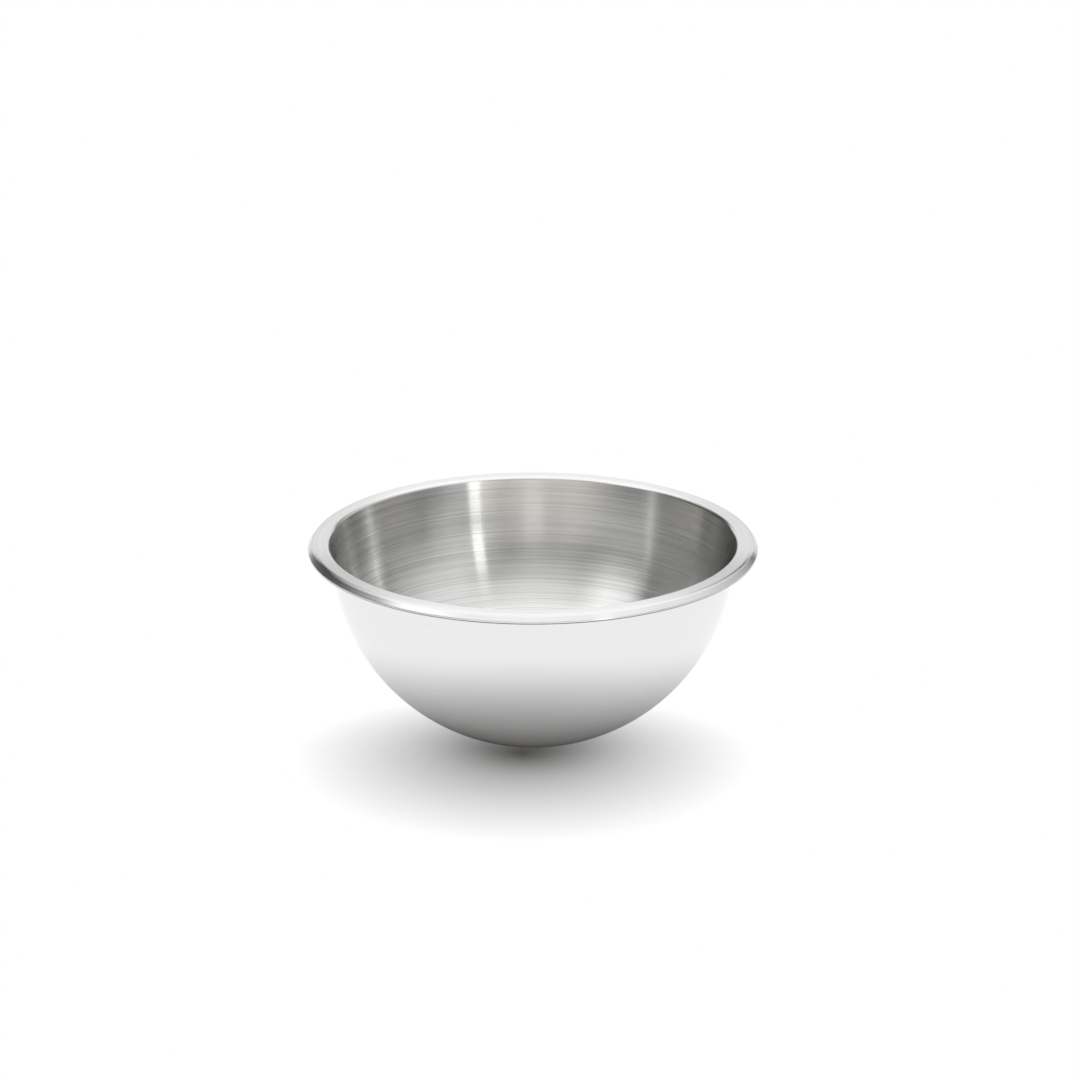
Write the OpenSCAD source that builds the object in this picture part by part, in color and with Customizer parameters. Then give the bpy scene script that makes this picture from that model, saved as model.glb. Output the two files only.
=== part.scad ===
// Hemispherical mixing bowl: one spun steel sheet, with its edge folded down over a wire hoop.
// Millimetres, +Z up. The origin is the middle of the flat that the bowl stands on.

/* [Bowl] */
// Inside diameter of the hemisphere
bowl_d = 200; // [160:1:260]
// Thickness of the steel sheet
sheet_t = 0.8; // [0.5:0.1:1.2]
// Slope of the wall's top from the vertical, where it opens out to the lip
flare_angle = 10.5; // [6:0.5:15]

/* [Foot] */
// Diameter of the flat that the bowl stands on
flat_d = 40; // [20:1:60]
// Inside bend radius between the flat and the hemisphere
foot_bend_r = 19; // [6:1:40]

/* [Rim] */
// Height of the rim's top above the middle of the hemisphere
rim_rise = 3.2; // [2.8:0.1:5]
// Inside bend radius where the wall turns outwards
lip_bend_r = 1.2; // [0.3:0.1:2]
// Width of the flat on top of the rim, between its two bends
flange_w = 5.2; // [4:0.1:12]
// Slope of the rim's outer bevel below the horizontal
bevel_angle = 51; // [40:1:65]
// Inside bend radius between the flat and the bevel
crease_bend_r = 2; // [0.3:0.1:2.5]
// Inside bend radius of the fold at the rim's lower edge
fold_bend_r = 0.2; // [0.1:0.1:0.6]
// Gap between the folded edge and the bowl's wall
hem_gap = 0.3; // [0.1:0.1:1]

/* [Rim wire] */
// Diameter of the wire that the edge is folded over
wire_d = 2.6; // [2:0.1:4]
// Room between the wire and the sheet around it
wire_clearance = 0.05; // [0.02:0.01:0.2]
// Gap between the two ends of the hoop
wire_end_gap = 1; // [0.5:0.5:5]

/* [Hidden] */
$fn = 180;

// A bend runs this far past the faces that it joins, so that they cross instead of only touching.
crossing = 0.002;
// Size of the square that trims a corner, in radii of its bend
trim_factor = 8;

// The hemisphere and its foot. A bend's outside radius is its inside radius and the sheet.
inner_r = bowl_d / 2;
outer_r = inner_r + sheet_t;
flat_r = flat_d / 2;
foot_r = foot_bend_r + sheet_t;
foot_angle = asin(flat_r / (outer_r - foot_r));
centre_z = foot_r + (outer_r - foot_r) * cos(foot_angle);
foot_centre = [flat_r, foot_r];

// Radius, at height z, of the cone that touches a ball of radius r and makes the top of the wall
function wall_r(r, z) = (r + (z - centre_z) * sin(flare_angle)) / cos(flare_angle);

// The rim's heights: the fold is as deep as the wire, its clearance and two sheets.
lip_r = lip_bend_r + sheet_t;
rim_top_z = centre_z + rim_rise;
lip_z = rim_top_z - lip_r;
rim_depth = wire_d + 2 * (wire_clearance + sheet_t);
rim_bottom_z = rim_top_z - rim_depth;
hem_top_z = rim_bottom_z + sheet_t;

// Centres of the rim's bends. The lip's bend touches the wall's cone and the flat, and the bevel is
// the line that touches both the crease and the fold.
crease_r = crease_bend_r + sheet_t;
fold_r = fold_bend_r + sheet_t;
bevel_normal = 90 - bevel_angle;
lip_centre = [wall_r(outer_r + lip_bend_r, lip_z), lip_z];
crease_centre = [lip_centre.x + flange_w, rim_top_z - crease_r];
fold_z = rim_bottom_z + fold_r;
bevel_run = (crease_r - fold_r + (crease_centre.y - fold_z) * sin(bevel_normal)) / cos(bevel_normal);
fold_centre = [crease_centre.x + bevel_run, fold_z];

// The hem stops short of the wall, or of the lip's bend where the hem reaches up to that.
lip_joint_z = lip_z + lip_bend_r * sin(flare_angle);
lip_reach = sqrt(max(pow(lip_bend_r, 2) - pow(hem_top_z - lip_z, 2), 0));
hem_edge_r = hem_gap + (hem_top_z < lip_joint_z ? wall_r(outer_r, hem_top_z) : lip_centre.x - lip_reach);

// The wire lies midway between the two flats. A wire thicker than the crease's bend lies its
// clearance away from the bevel, and a thinner one lies under the start of the crease.
wire_z = (rim_top_z + rim_bottom_z) / 2;
wire_excess = max(wire_d / 2 + wire_clearance - crease_bend_r, 0);
wire_ring_r = crease_centre.x - wire_excess * (1 - sin(bevel_normal)) / cos(bevel_normal);
wire_gap_angle = 2 * asin(wire_end_gap / 2 / wire_ring_r);

// What lies beyond a rounded corner between two faces, whose outward normals are given in degrees.
module corner_waste(centre, r, normal_a, normal_b) {
    reach = trim_factor * r;
    translate(centre)
        rotate((normal_a + normal_b) / 2)
            difference() {
                translate([r * cos((normal_b - normal_a) / 2), -reach / 2])
                    square(reach);
                translate([crossing, 0])
                    circle(r = r);
            }
}

// Half section of a solid ball that stands on a flat at flat_z, with the cone on it that makes the
// top of the wall. The cone runs a little past the point where it meets the lip's bend.
module ball_section(r, bend_r, flat_z) {
    joint_x = r * sin(foot_angle);
    joint_z = centre_z - r * cos(foot_angle);
    flare_z = centre_z - r * sin(flare_angle);
    top_z = lip_z + (outer_r + lip_bend_r - r) * sin(flare_angle) + sheet_t / 4;
    intersection() {
        translate([0, centre_z])
            circle(r = r);
        translate([0, joint_z])
            square([r, (flare_z + centre_z) / 2 - joint_z]);
    }
    polygon([[0, flare_z], [wall_r(r - crossing, flare_z), flare_z],
             [wall_r(r - crossing, top_z), top_z], [0, top_z]]);
    intersection() {
        translate(foot_centre + crossing * [sin(foot_angle), -1])
            circle(r = bend_r);
        translate([0, flat_z])
            square([r, bend_r]);
    }
    polygon([[0, flat_z], [flat_r, flat_z], [joint_x, joint_z], [0, joint_z]]);
}

// Section of the rim as if it were solid, from start_x outwards, with its outline drawn in by inset.
module rim_block(start_x, inset) {
    top_z = rim_top_z - inset;
    bottom_z = rim_bottom_z + inset;
    crease_x = crease_centre.x + (crease_r - inset) * tan(bevel_angle / 2);
    fold_x = fold_centre.x + (fold_r - inset) / tan(bevel_angle / 2);
    difference() {
        polygon([[start_x, bottom_z], [fold_x, bottom_z], [crease_x, top_z], [start_x, top_z]]);
        corner_waste(crease_centre, crease_r - inset, bevel_normal, 90);
        corner_waste(fold_centre, fold_r - inset, -90, bevel_normal);
    }
}

// A bend of the lip as a full disc.
module lip_disc(r) {
    translate(lip_centre + 2 * crossing * [-1, 1])
        circle(r = r);
}

// The space under the lip, from within the wall outwards.
module under_lip() {
    lip_disc(lip_bend_r);
    translate([inner_r + sheet_t / 2, rim_bottom_z - sheet_t])
        square([lip_r + flange_w / 2, lip_joint_z - rim_bottom_z + sheet_t]);
}

// The space inside the folded rim, and the gap between its hem and the wall.
module rim_hollow() {
    rim_block(lip_centre.x, sheet_t);
    intersection() {
        under_lip();
        translate([inner_r, hem_top_z])
            square([lip_r + flange_w, rim_depth]);
    }
    intersection() {
        under_lip();
        translate([inner_r, rim_bottom_z - sheet_t])
            square([hem_edge_r - inner_r, rim_depth]);
    }
}

// The room inside the bowl, out through its mouth.
module bowl_room() {
    ball_section(inner_r, foot_bend_r, sheet_t);
    difference() {
        translate([0, lip_z + lip_r * sin(flare_angle)])
            square([lip_centre.x, lip_r + sheet_t]);
        lip_disc(lip_r);
    }
}

// The spun shell: foot, hemisphere, flared wall and folded rim are one sheet.
module bowl_shell() {
    color("gainsboro")
        rotate_extrude()
            difference() {
                union() {
                    difference() {
                        rim_block(0, 0);
                        rim_hollow();
                    }
                    ball_section(outer_r, foot_r, 0);
                }
                bowl_room();
            }
}

// The hoop of round wire inside the rim, with its ends a little apart at the back.
module rim_wire() {
    color("darkgray")
        rotate([0, 0, 90 + wire_gap_angle / 2])
            rotate_extrude(angle = 360 - wire_gap_angle)
                translate([wire_ring_r, wire_z])
                    circle(d = wire_d);
}

bowl_shell();
rim_wire();
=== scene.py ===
import math

import bpy
import numpy as np
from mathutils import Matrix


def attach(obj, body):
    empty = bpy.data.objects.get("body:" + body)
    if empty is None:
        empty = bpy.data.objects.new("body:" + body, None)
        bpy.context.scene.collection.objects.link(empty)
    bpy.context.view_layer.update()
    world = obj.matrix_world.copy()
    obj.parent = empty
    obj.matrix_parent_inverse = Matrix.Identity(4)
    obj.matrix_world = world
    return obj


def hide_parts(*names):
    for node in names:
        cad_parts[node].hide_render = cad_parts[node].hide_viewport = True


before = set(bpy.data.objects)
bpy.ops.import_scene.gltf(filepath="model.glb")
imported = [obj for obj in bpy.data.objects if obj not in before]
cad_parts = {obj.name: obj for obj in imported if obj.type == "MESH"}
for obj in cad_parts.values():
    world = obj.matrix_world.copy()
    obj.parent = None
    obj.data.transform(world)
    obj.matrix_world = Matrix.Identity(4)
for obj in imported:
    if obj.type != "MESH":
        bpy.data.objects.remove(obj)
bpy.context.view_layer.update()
scene = bpy.context.scene
scene.view_settings.view_transform = "Standard"

# Bowl shell. One disc of stainless sheet, spun over a form to a hemisphere with a small flat foot.
# Its edge is turned out flat, bevelled, and folded back under over a wire. The inside is brushed
# while the bowl turns, and the outside is polished to a soft satin. Its sizes are in millimetres.
MM = 0.001
SHEET = 0.8
INNER_R = 100.0
FLAT_R = 20.0
FOOT_BEND = 19.0
FLARE_ANGLE = 10.5
RIM_RISE = 3.2
LIP_BEND = 1.2
FLANGE_W = 5.2
BEVEL_ANGLE = 51.0
CREASE_BEND = 2.0
FOLD_BEND = 0.2
HEM_GAP = 0.3
WIRE_ROOM = 2.7
EDGE_R = 0.2
TURNS = 320

# The section's bends: a bend's outside radius is its inside radius and the sheet.
outer_r = INNER_R + SHEET
foot_r = FOOT_BEND + SHEET
foot_angle = math.degrees(math.asin(FLAT_R / (outer_r - foot_r)))
centre_z = foot_r + (outer_r - foot_r) * math.cos(math.radians(foot_angle))
flare_sin, flare_cos = math.sin(math.radians(FLARE_ANGLE)), math.cos(math.radians(FLARE_ANGLE))
lip_r = LIP_BEND + SHEET
rim_top = centre_z + RIM_RISE
lip_z = rim_top - lip_r
rim_bottom = rim_top - WIRE_ROOM - 2 * SHEET
crease_r = CREASE_BEND + SHEET
fold_r = FOLD_BEND + SHEET
bevel_normal = 90 - BEVEL_ANGLE
bevel_sin, bevel_cos = math.sin(math.radians(bevel_normal)), math.cos(math.radians(bevel_normal))
lip_centre = ((outer_r + LIP_BEND + (lip_z - centre_z) * flare_sin) / flare_cos, lip_z)
crease_centre = (lip_centre[0] + FLANGE_W, rim_top - crease_r)
fold_z = rim_bottom + fold_r
bevel_run = (crease_r - fold_r + (crease_centre[1] - fold_z) * bevel_sin) / bevel_cos
fold_centre = (crease_centre[0] + bevel_run, fold_z)
hem_edge = (outer_r + (rim_bottom + SHEET - centre_z) * flare_sin) / flare_cos + HEM_GAP


def arc(centre, radius, start, stop, count):
    """Points on a circle from angle start to stop in degrees, each with its surface normal, which
    points away from the centre, or towards it where the radius is negative: r, z, normal r,
    normal z."""
    a = np.radians(np.linspace(start, stop, count))
    way = np.stack([np.cos(a), np.sin(a)], 1)
    return np.hstack([np.array(centre) + abs(radius) * way, way * np.sign(radius)])


def run(before, after, count):
    """Points within the straight stretch from the end of one arc to the start of the next, evenly
    spaced. Both arcs have the same normal there, and the points keep it."""
    k = np.linspace(0, 1, count + 2)[1:-1, None]
    return before[-1] * (1 - k) + after[0] * k


# The section goes from the axis up the inside, over the rim, round the fold and its hem, and down
# the outside to the axis. The pad brushes the start of the lip, and the rim's wheel the start of
# the fold.
INSIDE, RIM, OUTSIDE, FOLDED = 0, 1, 2, 3
LIP_BRUSHED, FOLD_POLISHED = 8, 5
floor_in = np.array([[0.0, SHEET, 0.0, 1.0]])
foot_in = arc((FLAT_R, foot_r), -FOOT_BEND, -90, foot_angle - 90, 8)
ball_in = arc((0, centre_z), -INNER_R, foot_angle - 90, -FLARE_ANGLE, 70)[1:]
lip_top = arc(lip_centre, lip_r, 180 - FLARE_ANGLE, 90, 22)
crease = arc(crease_centre, crease_r, 90, bevel_normal, 14)
fold = arc(fold_centre, fold_r, bevel_normal, -90, 13)
edge_low = arc((hem_edge + EDGE_R, rim_bottom + EDGE_R), EDGE_R, -90, -180, 4)
edge_high = arc((hem_edge + EDGE_R, rim_bottom + SHEET - EDGE_R), EDGE_R, 180, 90, 4)
fold_in = arc(fold_centre, -FOLD_BEND, -90, bevel_normal, 5)
crease_in = arc(crease_centre, -CREASE_BEND, bevel_normal, 90, 5)
lip_under = arc(lip_centre, -LIP_BEND, 90, 180 - FLARE_ANGLE, 8)
ball_out = arc((0, centre_z), outer_r, -FLARE_ANGLE, foot_angle - 90, 66)
foot_out = arc((FLAT_R, foot_r), foot_r, foot_angle - 90, -90, 8)[1:]
floor_out = np.array([[0.0, 0.0, 0.0, -1.0]])
stretches = [
    (INSIDE, run(floor_in, foot_in, 5)), (INSIDE, foot_in),
    (INSIDE, ball_in), (INSIDE, run(ball_in, lip_top, 6)),
    (INSIDE, lip_top[:LIP_BRUSHED]), (RIM, lip_top[LIP_BRUSHED:]),
    (RIM, run(lip_top, crease, 4)), (RIM, crease), (RIM, run(crease, fold, 3)),
    (RIM, fold[:FOLD_POLISHED]), (FOLDED, fold[FOLD_POLISHED:]),
    (FOLDED, run(fold, edge_low, 3)), (FOLDED, edge_low), (FOLDED, edge_high),
    (FOLDED, run(edge_high, fold_in, 3)), (FOLDED, fold_in),
    (FOLDED, run(fold_in, crease_in, 2)), (FOLDED, crease_in),
    (FOLDED, run(crease_in, lip_under, 3)), (FOLDED, lip_under),
    (OUTSIDE, run(lip_under, ball_out, 6)), (OUTSIDE, ball_out),
    (OUTSIDE, foot_out), (OUTSIDE, run(foot_out, floor_out, 5)),
]
section = np.vstack([points for finish, points in stretches])
finish_of_row = np.concatenate([np.full(len(points), finish) for finish, points in stretches])


def spin_sheet(name, section, finish_of_row, turns):
    """The section turned round the Z axis: x = r cos a, y = r sin a, with one vertex at each pole.
    The UV map has the distance along the section as u and the turn as v. The attribute grain has
    that distance in mm, cos a and sin a, so that a pattern on it has no seam."""
    rows = len(section)
    a = np.arange(turns) * 2 * np.pi / turns
    r, z, normal_r, normal_z = (section[:, k, None] for k in range(4))
    flat = np.ones(turns)
    points = np.stack([r * np.cos(a), r * np.sin(a), z * flat], 2).reshape(-1, 3)
    normals = np.stack([normal_r * np.cos(a), normal_r * np.sin(a), normal_z * flat], 2)
    poles = np.array([[0, 0, section[0, 1]], [0, 0, section[-1, 1]]])
    pole_normals = [[0, 0, 1], [0, 0, -1]]
    steps = np.hypot(*np.diff(section[:, :2], axis=0).T)
    along = section[0, 0] + np.concatenate([[0], np.cumsum(steps)])
    ends = np.array([0, along[-1] + section[-1, 0]])
    grain = np.stack([along[:, None] * flat, np.cos(a) + 0 * r, np.sin(a) + 0 * r], 2)
    pole_grain = np.stack([ends, [0, 0], [0, 0]], 1)

    row, col = (g.ravel() for g in np.indices((rows - 1, turns)))
    after = (col + 1) % turns
    quads = np.stack([row * turns + col, (row + 1) * turns + col,
                      (row + 1) * turns + after, row * turns + after], 1)
    k = np.arange(turns)
    k_after = (k + 1) % turns
    last = (rows - 1) * turns
    first_pole = np.full(turns, rows * turns)
    fans = np.vstack([np.stack([first_pole, k, k_after], 1),
                      np.stack([first_pole + 1, last + k_after, last + k], 1)])
    first_u = np.tile([0, along[0], along[0]], turns)
    last_u = np.tile([ends[1], along[-1], along[-1]], turns)
    u = np.concatenate([along[np.stack([row, row + 1, row + 1, row], 1)].ravel(), first_u, last_u])
    v = np.concatenate([np.stack([col, col, col + 1, col + 1], 1).ravel(),
                        np.stack([k + 0.5, k, k + 1], 1).ravel(),
                        np.stack([k + 0.5, k + 1, k], 1).ravel()]) / turns

    mesh = bpy.data.meshes.new(name)
    mesh.from_pydata((np.vstack([points, poles]) * MM).tolist(), [],
                     quads.tolist() + fans.tolist())
    mesh.polygons.foreach_set("use_smooth", np.ones(len(mesh.polygons), bool))
    finish = np.concatenate([finish_of_row[row], np.repeat(finish_of_row[[0, -1]], turns)])
    mesh.polygons.foreach_set("material_index", finish.astype(np.int32))
    uv = mesh.uv_layers.new(name="spin")
    uv.data.foreach_set("uv", np.stack([u * MM, v], 1).ravel())
    layer = mesh.attributes.new("grain", "FLOAT_VECTOR", "POINT")
    layer.data.foreach_set("vector", np.vstack([grain.reshape(-1, 3), pole_grain]).ravel())
    mesh.update()
    all_normals = np.vstack([normals.reshape(-1, 3), pole_normals])
    mesh.normals_split_custom_set_from_vertices(all_normals.tolist())
    piece = bpy.data.objects.new(name, mesh)
    scene.collection.objects.link(piece)
    return piece


bowl_shell = spin_sheet("bowl_shell_spun", section, finish_of_row, TURNS)


def linear(hex_colour):
    """The linear RGBA of an sRGB colour written as #rrggbb."""
    s = np.array([int(hex_colour[k:k + 2], 16) for k in (1, 3, 5)]) / 255
    return (*np.where(s <= 0.04045, s / 12.92, ((s + 0.055) / 1.055) ** 2.4), 1.0)


def add_node(tree, kind, inputs=None, **settings):
    """Adds a node, sets its properties, and sets or links each input, by name or by number."""
    node = tree.nodes.new(kind)
    for key, value in settings.items():
        setattr(node, key, value)
    for key, value in (inputs or {}).items():
        if isinstance(value, bpy.types.NodeSocket):
            tree.links.new(value, node.inputs[key])
        else:
            node.inputs[key].default_value = value
    return node


def new_material(name):
    """An empty node material, its tree and its output."""
    material = bpy.data.materials.new(name)
    material.use_nodes = True
    tree = material.node_tree
    tree.nodes.clear()
    return material, tree, tree.nodes.new("ShaderNodeOutputMaterial")


def marks_round_axis(tree, spacing, drift, detail):
    """Noise drawn out into marks round the axis. Across them it goes by the distance along the
    section over their spacing in mm, and round the axis by cos a and sin a times the drift."""
    grain = add_node(tree, "ShaderNodeAttribute", attribute_name="grain")
    at = add_node(tree, "ShaderNodeVectorMath",
                  {0: grain.outputs["Vector"], 1: (1 / spacing, drift, drift)},
                  operation="MULTIPLY")
    noise = add_node(tree, "ShaderNodeTexNoise",
                     {"Vector": at.outputs[0], "Scale": 1.0, "Detail": detail})
    return noise.outputs["Fac"]


def bare_steel(tree, output, marks, marks_range, rough_range, colour_range, inputs=None):
    """A metal surface. As the marks go from the first to the second value of their range, so do
    its roughness and its colour."""
    reach = {"Value": marks, "From Min": marks_range[0], "From Max": marks_range[1]}
    rough = add_node(tree, "ShaderNodeMapRange",
                     {**reach, "To Min": rough_range[0], "To Max": rough_range[1]})
    share = add_node(tree, "ShaderNodeMapRange", reach)
    colour = add_node(tree, "ShaderNodeMix",
                      {"Factor": share.outputs["Result"], "A": linear(colour_range[0]),
                       "B": linear(colour_range[1])}, data_type="RGBA")
    steel = add_node(tree, "ShaderNodeBsdfPrincipled",
                     {"Base Color": colour.outputs["Result"], "Metallic": 1.0,
                      "Roughness": rough.outputs["Result"], **(inputs or {})})
    tree.links.new(steel.outputs[0], output.inputs["Surface"])


# Brushed stainless steel, on the inside. An abrasive pad held to the turning bowl leaves fine lines
# round the axis, so a light shows as a narrow streak from the foot to the rim. The real lines are
# about 0.1 mm apart, too fine to show here, so they are drawn 0.5 mm apart. The pad's passes are
# 7 mm apart.
BRUSH_LINE, LINE_DRIFT = 0.5, 0.8
BRUSH_PASS, PASS_DRIFT = 7.0, 0.5
PASS_SHARE = 0.22
LINE_DEPTH = 0.015
MARKS = (0.3, 0.7)
brushed, tree, output = new_material("brushed_stainless_steel")
line = marks_round_axis(tree, BRUSH_LINE, LINE_DRIFT, 2.0)
passes = marks_round_axis(tree, BRUSH_PASS, PASS_DRIFT, 2.0)
marks = add_node(tree, "ShaderNodeMix", {"Factor": PASS_SHARE, "A": line, "B": passes})
bump = add_node(tree, "ShaderNodeBump",
                {"Height": line, "Strength": 1.0, "Distance": LINE_DEPTH * MM,
                 "Filter Width": 0.02})
tangent = add_node(tree, "ShaderNodeTangent", direction_type="UV_MAP", uv_map="spin")
bare_steel(tree, output, marks.outputs["Result"], MARKS, (0.185, 0.215), ("#cfcfce", "#f0f0ef"),
           {"Anisotropic": 1.0, "Tangent": tangent.outputs[0], "Normal": bump.outputs[0]})

# Satin stainless steel, on the outside. A fine polishing compound leaves an even soft gloss, in
# which the floor shows without sharp edges. Its faint lines are too fine to show, so they are
# drawn as coarse as those of the inside.
satin, tree, output = new_material("satin_stainless_steel")
line = marks_round_axis(tree, BRUSH_LINE, LINE_DRIFT, 2.0)
bare_steel(tree, output, line, MARKS, (0.118, 0.122), ("#ebebeb", "#ededed"))

# Polished rim steel, from the lip to the fold. A wheel run round the rim leaves a brighter metal,
# whose highlights are drawn out across the rim. Its lines are drawn as coarse as the others.
rim_steel, tree, output = new_material("polished_rim_steel")
line = marks_round_axis(tree, BRUSH_LINE, LINE_DRIFT, 1.0)
tangent = add_node(tree, "ShaderNodeTangent", direction_type="UV_MAP", uv_map="spin")
bare_steel(tree, output, line, MARKS, (0.21, 0.24), ("#e4e4e4", "#ececec"),
           {"Anisotropic": 1.0, "Tangent": tangent.outputs[0]})

# Mill-finish steel, under the fold, where no wheel reaches. It is as dull and grainy as it was
# rolled. Its dark grey is painted shade, which gives the thin dark line under the rim. Its grain is
# drawn 1.5 mm wide to show.
MILL_GRAIN = 1.5
mill_and_painted_shade, tree, output = new_material("mill_steel_painted_shade")
where = add_node(tree, "ShaderNodeTexCoord")
grain = add_node(tree, "ShaderNodeTexNoise",
                 {"Vector": where.outputs["Object"], "Scale": 1 / (MILL_GRAIN * MM), "Detail": 2.0})
# Painted shade: these dark greys stand in for the shade in the gap under the fold.
bare_steel(tree, output, grain.outputs["Fac"], (0.0, 1.0), (0.4, 0.55), ("#77777a", "#8f8f90"))

for material in (brushed, rim_steel, satin, mill_and_painted_shade):
    bowl_shell.data.materials.append(material)
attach(bowl_shell, "root")
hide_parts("bowl_shell")

# Rim wire. A hoop of round stainless wire, bent to a ring and left with its ends a little apart.
# The sheet's edge is folded over it, and nothing else holds it. The CAD solid has its shape, so it
# stays, and gets the dull finish that a drawing die leaves, with its marks drawn 0.9 mm long.
DRAW_MARK = 0.9
wire_steel, tree, output = new_material("drawn_stainless_wire")
where = add_node(tree, "ShaderNodeTexCoord")
draw = add_node(tree, "ShaderNodeTexNoise",
                {"Vector": where.outputs["Object"], "Scale": 1 / (DRAW_MARK * MM), "Detail": 2.0})
bare_steel(tree, output, draw.outputs["Fac"], (0.0, 1.0), (0.3, 0.5), ("#bcbbb8", "#d2d1ce"))
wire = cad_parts["rim_wire"]
wire.data.materials.clear()
wire.data.materials.append(wire_steel)

# Studio floor. Pale paper laid flat under the bowl, in metres. The camera sees the lamps' shadow of
# the bowl on it only inside a fixed patch, a painted shadow that fades out to white with distance,
# and a reflection sees a painted grey shade round the bowl and white beyond. From below it is open,
# so that the bowl's underside can be seen.
FLOOR_R = 8.0
FLOOR_DROP = 0.05 * MM
SHADOW_MIDDLE_X, SHADOW_MIDDLE_Y = -0.005, -0.035
SHADOW_SIDE, SHADOW_FRONT, SHADOW_BACK = 0.114, 0.115, 0.085
SHADOW_POWER = 1.25
GREY_FROM, GREY_TO, GREY_SIDE = 0.052, 0.176, 0.147
corners = np.array([[-1, -1, 0], [1, -1, 0], [1, 1, 0], [-1, 1, 0]]) * FLOOR_R
floor_mesh = bpy.data.meshes.new("studio_floor")
floor_mesh.from_pydata((corners - [0, 0, FLOOR_DROP]).tolist(), [], [[0, 1, 2, 3]])
floor = bpy.data.objects.new("studio_floor", floor_mesh)
scene.collection.objects.link(floor)

# Matt pale paper. The patch is painted shadow: inside it the grey paper shows with the lamps' own
# shadow, and outside it white. It is two half ellipses, of which the front one is the longer.
paper_with_painted_shadow, tree, output = new_material("matt_paper_painted_shadow")
where = add_node(tree, "ShaderNodeTexCoord")
spot = add_node(tree, "ShaderNodeSeparateXYZ", {0: where.outputs["Object"]})
sideways = add_node(tree, "ShaderNodeMath",
                    {0: spot.outputs["X"], 1: 1 / SHADOW_SIDE, 2: -SHADOW_MIDDLE_X / SHADOW_SIDE},
                    operation="MULTIPLY_ADD")
forward = add_node(tree, "ShaderNodeMath",
                   {0: spot.outputs["Y"], 1: -1 / SHADOW_FRONT, 2: SHADOW_MIDDLE_Y / SHADOW_FRONT},
                   operation="MULTIPLY_ADD")
backward = add_node(tree, "ShaderNodeMath",
                    {0: spot.outputs["Y"], 1: 1 / SHADOW_BACK, 2: -SHADOW_MIDDLE_Y / SHADOW_BACK},
                    operation="MULTIPLY_ADD")
endways = add_node(tree, "ShaderNodeMath", {0: forward.outputs[0], 1: backward.outputs[0]},
                   operation="MAXIMUM")
placed = add_node(tree, "ShaderNodeCombineXYZ", {0: sideways.outputs[0], 1: endways.outputs[0]})
away = add_node(tree, "ShaderNodeVectorMath", {0: placed.outputs[0]}, operation="LENGTH")
# Painted shadow: the camera sees the lamp-lit grey paper only inside this patch, and white beyond.
painted_shadow_patch = add_node(tree, "ShaderNodeMath", {0: away.outputs["Value"], 1: SHADOW_POWER},
                operation="POWER", use_clamp=True)
# Painted shade: reflections see the lamp-lit grey paper only inside this disc, and white beyond.
narrowed = add_node(tree, "ShaderNodeMapping",
                    {"Vector": where.outputs["Object"], "Scale": (GREY_TO / GREY_SIDE, 1, 1)})
from_axis = add_node(tree, "ShaderNodeVectorMath", {0: narrowed.outputs[0]}, operation="LENGTH")
painted_shade_disc = add_node(tree, "ShaderNodeMapRange",
                    {"Value": from_axis.outputs["Value"], "From Min": GREY_FROM,
                     "From Max": GREY_TO}, interpolation_type="SMOOTHSTEP")
rays = add_node(tree, "ShaderNodeLightPath")
fade = add_node(tree, "ShaderNodeMix",
                {"Factor": rays.outputs["Is Camera Ray"], "A": painted_shade_disc.outputs["Result"],
                 "B": painted_shadow_patch.outputs[0]})
lit = add_node(tree, "ShaderNodeBsdfDiffuse", {"Color": linear("#c6c6c6")})
glow = add_node(tree, "ShaderNodeEmission", {"Color": linear("#ffffff"), "Strength": 1.0})
paper = add_node(tree, "ShaderNodeMixShader",
                 {0: fade.outputs["Result"], 1: lit.outputs[0], 2: glow.outputs[0]})
face = add_node(tree, "ShaderNodeNewGeometry")
opening = add_node(tree, "ShaderNodeBsdfTransparent")
one_sided = add_node(tree, "ShaderNodeMixShader",
                     {0: face.outputs["Backfacing"], 1: paper.outputs[0], 2: opening.outputs[0]})
tree.links.new(one_sided.outputs[0], output.inputs["Surface"])
floor_mesh.materials.append(paper_with_painted_shadow)

# Studio room. A white ceiling lights the bowl from above, and the walls are darker towards the
# floor, which gives the steel its dark parts. Z is the sine of the elevation. The camera sees the
# room as plain white.
WALL_LIGHT, WALL_Z = 0.05, 0.45
CEILING_LIGHT, CEILING_Z = 1.2, 0.77
world = bpy.data.worlds.new("studio_room")
scene.world = world
world.use_nodes = True
tree = world.node_tree
tree.nodes.clear()
output = tree.nodes.new("ShaderNodeOutputWorld")
rays = add_node(tree, "ShaderNodeLightPath")
way = add_node(tree, "ShaderNodeTexCoord")
height = add_node(tree, "ShaderNodeSeparateXYZ", {0: way.outputs["Generated"]})
level = add_node(tree, "ShaderNodeMapRange",
                 {"Value": height.outputs["Z"], "From Min": WALL_Z, "From Max": CEILING_Z,
                  "To Min": WALL_LIGHT, "To Max": CEILING_LIGHT})
room = add_node(tree, "ShaderNodeBackground",
                {"Color": linear("#ffffff"), "Strength": level.outputs["Result"]})
white = add_node(tree, "ShaderNodeBackground", {"Color": linear("#ffffff"), "Strength": 1.0})
mixed = add_node(tree, "ShaderNodeMixShader",
                 {0: rays.outputs["Is Camera Ray"], 1: room.outputs[0], 2: white.outputs[0]})
tree.links.new(mixed.outputs[0], output.inputs["Surface"])

# Softboxes. Panels of white cloth with a lamp behind each stand round the bowl, and their light
# fades towards the edges. A narrow strip in front gives the inside its bright streak, and a gap
# between the back and right panels gives the rim its dark tick.
FADE_UP = 0.35


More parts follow.
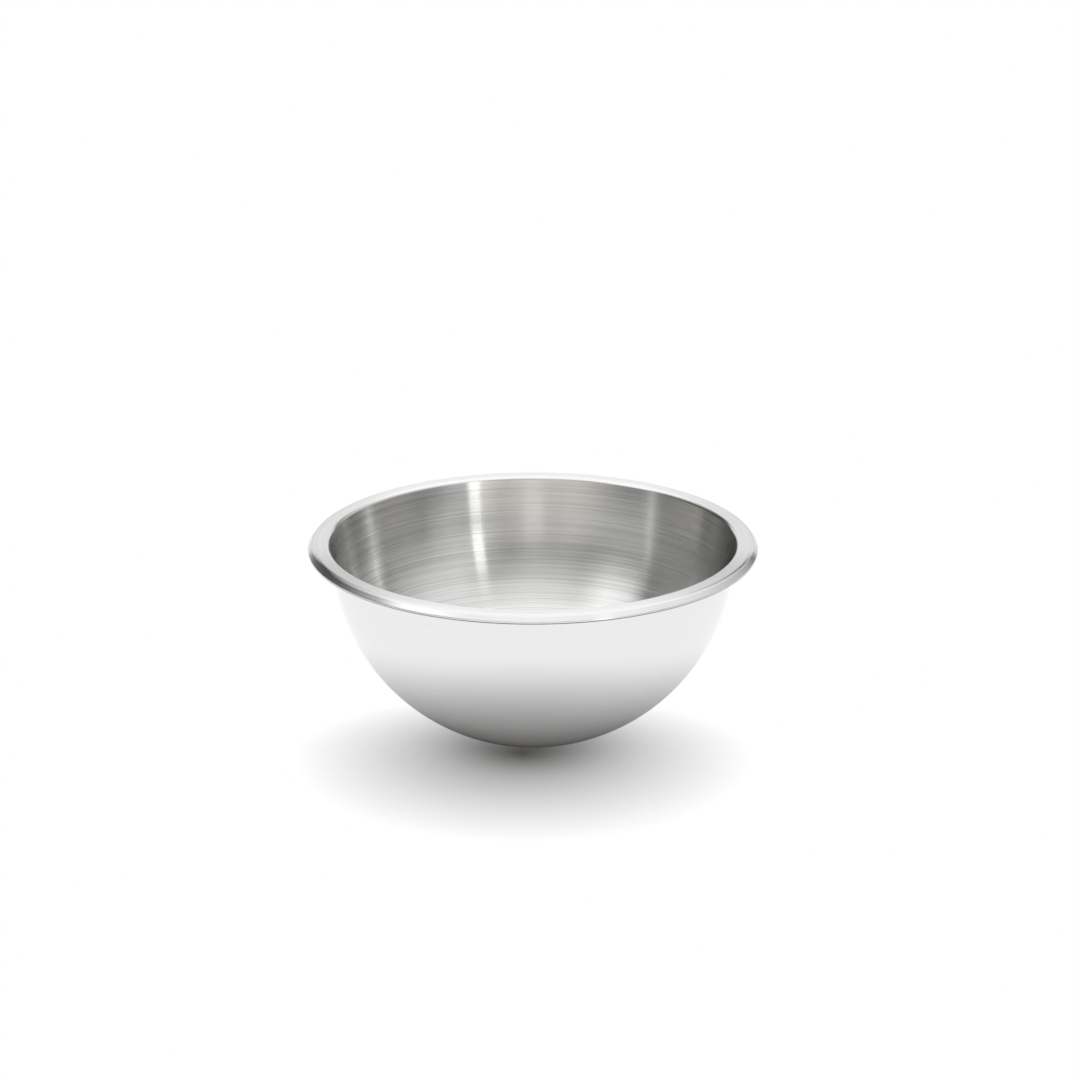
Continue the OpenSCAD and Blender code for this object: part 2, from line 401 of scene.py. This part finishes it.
def softbox(name, azimuth, elevation, distance, width, height, radiance,
            fade_start=0.02, fade_end=0.02, colour="#ffffff"):
    """An area lamp aimed at the bowl. Azimuth 0 is the camera's side, 90 is its right. Its light
    fades over a share of its width at either end, of which the start has the lower azimuth, and
    over the share FADE_UP of its height at the top and at the bottom."""
    data = bpy.data.lights.new(name, "AREA")
    data.shape = "RECTANGLE"
    data.size, data.size_y = width, height
    data.energy = radiance * math.pi * width * height
    data.color = linear(colour)[:3]
    data.use_nodes = True
    tree = data.node_tree
    tree.nodes.clear()
    output = tree.nodes.new("ShaderNodeOutputLight")
    panel = add_node(tree, "ShaderNodeNewGeometry")
    across = add_node(tree, "ShaderNodeSeparateXYZ", {0: panel.outputs["Parametric"]})
    light = 1.0
    for axis, start, end in (("X", fade_start, 1 - fade_end), ("Y", FADE_UP, 1 - FADE_UP)):
        rise = add_node(tree, "ShaderNodeMapRange",
                        {"Value": across.outputs[axis], "From Max": start},
                        interpolation_type="SMOOTHSTEP")
        fall = add_node(tree, "ShaderNodeMapRange",
                        {"Value": across.outputs[axis], "From Min": 1.0, "From Max": end,
                         "To Max": light}, interpolation_type="SMOOTHSTEP")
        light = add_node(tree, "ShaderNodeMath",
                         {0: rise.outputs["Result"], 1: fall.outputs["Result"]},
                         operation="MULTIPLY").outputs[0]
    glow = add_node(tree, "ShaderNodeEmission", {"Strength": light})
    tree.links.new(glow.outputs[0], output.inputs["Surface"])
    lamp = bpy.data.objects.new(name, data)
    a, e = math.radians(azimuth), math.radians(elevation)
    lamp.location = (distance * math.sin(a) * math.cos(e), -distance * math.cos(a) * math.cos(e),
                     distance * math.sin(e) + centre_z * MM)
    lamp.rotation_euler = (math.pi / 2 - e, 0, a)
    lamp.visible_camera = False
    scene.collection.objects.link(lamp)


softbox("back_softbox", 180, 34, 1.6, 0.8, 0.9, 1.1, 0.3, 0.3)
softbox("backdrop_panel", 180, 13, 1.6, 1.9, 0.9, 0.85)
softbox("right_panel", 108, 25, 1.6, 2.4, 1.2, 0.65, 0.4)
softbox("front_right_panel", 62, 25, 1.6, 1.8, 1.0, 0.68, 0.45, 0.4)
softbox("left_panel", -62, 36, 1.6, 1.5, 1.0, 0.85, 0.3, 0.5)
softbox("front_panel", -8, 6, 1.6, 3.6, 0.65, 1.1, 0.4, 0.15, "#fff8ec")
softbox("front_high_panel", -8, 30, 1.6, 2.4, 0.9, 0.24, 0.4, 0.4)
softbox("front_strip", 35, 13, 1.5, 0.18, 1.1, 1.6, colour="#fffcf6")
softbox("strip_spill", 36, 13, 1.55, 1.3, 1.0, 0.75, 0.5, 0.5)

# Camera. A long lens looks down at the middle of the hemisphere from the photo's angle. Its body
# is moved a little across and up, in its own picture plane, so that the bowl stands where it does
# in the photo.
ELEVATION = math.radians(18.92)
DISTANCE = 2.51
FOCAL = 166.67
ACROSS = 3.53 * MM
UP = 3.32 * MM
data = bpy.data.cameras.new("camera")
data.lens = FOCAL
data.sensor_width = 36.0
data.clip_end = 50
camera = bpy.data.objects.new("camera", data)
camera.location = (ACROSS, -DISTANCE * math.cos(ELEVATION) + UP * math.sin(ELEVATION),
                   centre_z * MM + DISTANCE * math.sin(ELEVATION) + UP * math.cos(ELEVATION))
camera.rotation_euler = (math.pi / 2 - ELEVATION, 0, 0)
scene.collection.objects.link(camera)
scene.camera = camera
